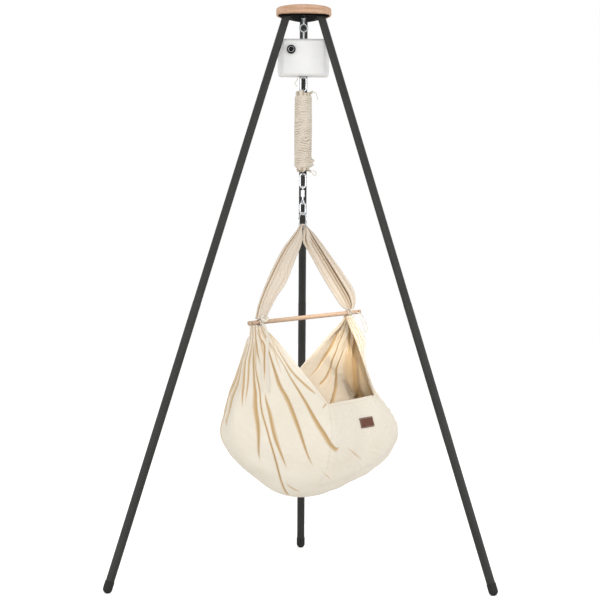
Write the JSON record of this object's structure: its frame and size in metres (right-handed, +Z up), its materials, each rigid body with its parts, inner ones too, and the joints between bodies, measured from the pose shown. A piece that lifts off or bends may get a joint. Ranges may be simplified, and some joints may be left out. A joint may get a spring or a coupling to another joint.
{
  "type": "swinging cradle on stand",
  "caption": "Three-legged stand with a round wooden head, a motor box, a sleeved coil spring, a swivel and a cloth cradle bag hanging under a wooden spreader bar.",
  "frame": {"origin": "on the floor, at the centre of the box round the whole part; the hanging line stands 0.17775 m behind it in -Y", "axes": "+Z up, +X to the right seen from the front, front towards -Y, one leg at the back (+Y) and two at the front"},
  "size_m": [1.2624, 1.0974, 1.93],
  "materials": {
    "beech": "satin",
    "black_plate": "satin",
    "black_zinc": "satin",
    "zinc": "satin",
    "anthracite_tube": "satin",
    "coupler_steel": "satin",
    "foot_rubber": "matte",
    "bright_steel": "polished",
    "white_housing": "matte",
    "black_plastic": "matte",
    "drum_plastic": "matte",
    "board": "satin",
    "strap_web": "matte",
    "sleeve_cotton": "matte",
    "bag_cotton": "matte",
    "panel_cotton": "matte",
    "mattress_cover": "matte",
    "label_leather": "satin",
    "tape_cotton": "matte",
    "bar_wood": "satin"
  },
  "bodies": {
    "stand": {"top_disc": "beech", "hub_plate": "black_plate", "plate_screws": "black_zinc", "eyebolt": "zinc", "eyebolt_nuts": "zinc", "eyebolt_washers": "zinc", "left_upper_leg": "anthracite_tube", "right_upper_leg": "anthracite_tube", "back_upper_leg": "anthracite_tube", "left_lower_leg": "anthracite_tube", "right_lower_leg": "anthracite_tube", "back_lower_leg": "anthracite_tube", "leg_couplers": "coupler_steel", "left_foot": "foot_rubber", "right_foot": "foot_rubber", "back_foot": "foot_rubber"},
    "shackle": {"shackle_bow": "bright_steel", "shackle_pin": "bright_steel"},
    "motor": {"motor_front_shell": "white_housing", "motor_back_shell": "white_housing", "housing_screws": "black_zinc", "hanger_frame": "zinc", "gearmotor": "zinc", "circuit_board": "board", "speed_dial_base": "black_plastic", "power_inlet": "black_plastic", "cord_stub": "tape_cotton"},
    "speed_knob": {"control_knob": "black_plastic"},
    "drum": {"winding_drum": "drum_plastic"},
    "pull_eye": {"pull_strap": "strap_web", "output_eye": "bright_steel"},
    "upper_link": {"upper_carabiner": "bright_steel"},
    "upper_gate": {"upper_carabiner_gate": "bright_steel"},
    "spring_unit": {"spring": "bright_steel", "spring_sleeve": "sleeve_cotton", "drawstring_ends": "tape_cotton", "sleeve_loop": "tape_cotton"},
    "middle_link": {"middle_carabiner": "bright_steel", "swivel_barrel": "bright_steel"},
    "middle_gate": {"middle_carabiner_gate": "bright_steel"},
    "cradle": {"swivel_eye": "bright_steel", "lower_carabiner": "bright_steel", "hammock_ring": "bright_steel", "left_band": "bag_cotton", "right_band": "bag_cotton", "spreader_bar": "bar_wood", "bag": "bag_cotton", "front_panel": "panel_cotton", "mattress": "mattress_cover", "label_patch": "label_leather", "left_tie": "tape_cotton", "right_tie": "tape_cotton", "ribbon_tail": "tape_cotton", "bow_loops": "tape_cotton"},
    "lower_gate": {"lower_carabiner_gate": "bright_steel"}
  },
  "joints": [
    {"name": "shackle_swing", "type": "hinge", "parent": "stand", "child": "shackle", "pos_m": [0, -0.17775, 1.8502], "axis": [1, 0, 0], "range_deg": [-1.5, 1.5]},
    {"name": "motor_swing", "type": "hinge", "parent": "shackle", "child": "motor", "pos_m": [0, -0.17775, 1.816], "axis": [0, 1, 0], "range_deg": [-1.5, 1.5]},
    {"name": "knob_turn", "type": "hinge", "parent": "motor", "child": "speed_knob", "pos_m": [-0.042, -0.21275, 1.786], "axis": [0, -1, 0], "range_deg": [-270, 0]},
    {"name": "pull_stroke", "type": "slide", "parent": "motor", "child": "pull_eye", "axis": [0, 0, 1], "range_m": [-0.012, 0.012]},
    {"name": "drum_turn", "type": "hinge", "parent": "motor", "child": "drum", "pos_m": [0, -0.16475, 1.76], "axis": [1, 0, 0], "range_deg": [-55, 55]},
    {"name": "upper_link_swing", "type": "hinge", "parent": "pull_eye", "child": "upper_link", "pos_m": [0, -0.17775, 1.6923], "axis": [0, 1, 0], "range_deg": [-2.5, 2.5]},
    {"name": "upper_gate_swing", "type": "hinge", "parent": "upper_link", "child": "upper_gate", "pos_m": [0.0095, -0.17775, 1.6614], "axis": [0, -1, 0], "range_deg": [0, 20], "stiffness_Nm_per_rad": 0.05, "springref_deg": -11.46},
    {"name": "spring_swing", "type": "hinge", "parent": "upper_link", "child": "spring_unit", "pos_m": [0, -0.17775, 1.6485], "axis": [1, 0, 0], "range_deg": [-2.5, 2.5]},
    {"name": "cradle_bounce", "type": "slide", "parent": "spring_unit", "child": "middle_link", "axis": [0, 0, 1], "range_m": [-0.18, 0.06], "stiffness_N_per_m": 167, "springref_m": 0.107, "deforming": ["spring", "spring_sleeve", "sleeve_loop"]},
    {"name": "middle_gate_swing", "type": "hinge", "parent": "middle_link", "child": "middle_gate", "pos_m": [0.0095, -0.17775, 1.3338], "axis": [0, -1, 0], "range_deg": [0, 20], "stiffness_Nm_per_rad": 0.05, "springref_deg": -11.46},
    {"name": "cradle_spin", "type": "hinge", "parent": "middle_link", "child": "cradle", "pos_m": [0, -0.17775, 1.2906], "axis": [0, 0, 1], "continuous": true},
    {"name": "lower_gate_swing", "type": "hinge", "parent": "cradle", "child": "lower_gate", "pos_m": [0.0089, -0.17219, 1.2447], "axis": [0.5299, -0.848, 0], "range_deg": [0, 20], "stiffness_Nm_per_rad": 0.05, "springref_deg": -11.46}
  ],
  "couplings": [
    {"joint": "drum_turn", "follows": "pull_stroke", "rad_per_m": -76.923}
  ]
}
